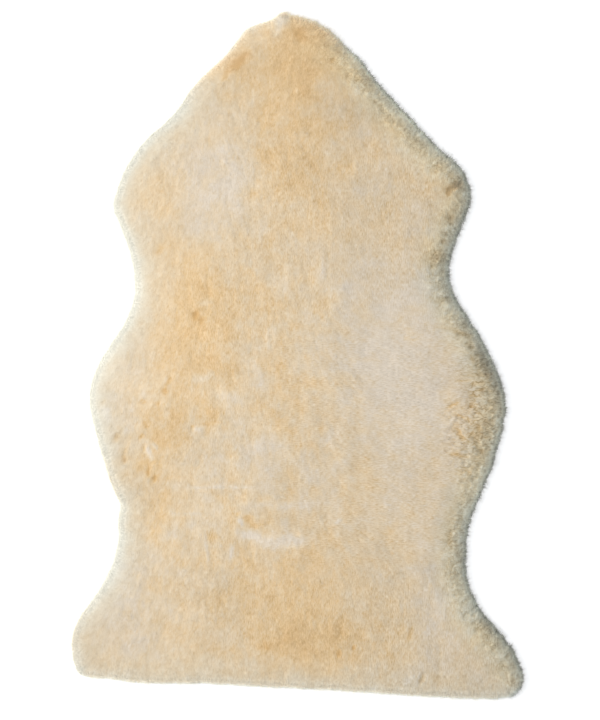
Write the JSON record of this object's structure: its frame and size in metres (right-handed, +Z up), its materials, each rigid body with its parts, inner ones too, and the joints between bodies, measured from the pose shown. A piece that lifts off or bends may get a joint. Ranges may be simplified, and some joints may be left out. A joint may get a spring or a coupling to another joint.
{
  "type": "sheepskin rug",
  "caption": "Shorn lambskin rug with dense cream wool, pelt-shaped outline with pointed neck, waisted flanks and flared hind legs, lying flat wool side up.",
  "frame": {"origin": "middle of the footprint, on the floor, under the lowest point of the hide", "axes": "+Z up out of the wool, +Y from the rump to the neck, +X to the viewer's right with the neck pointing up"},
  "size_m": [0.6262, 0.9502, 0.0294],
  "materials": {
    "fleece": "dense shorn wool, cream to honey, matt with a soft sheen",
    "hide": "tanned suede back, pale buff, matt"
  },
  "bodies": {
    "root": {"sheepskin": "fleece"}
  },
  "joints": []
}
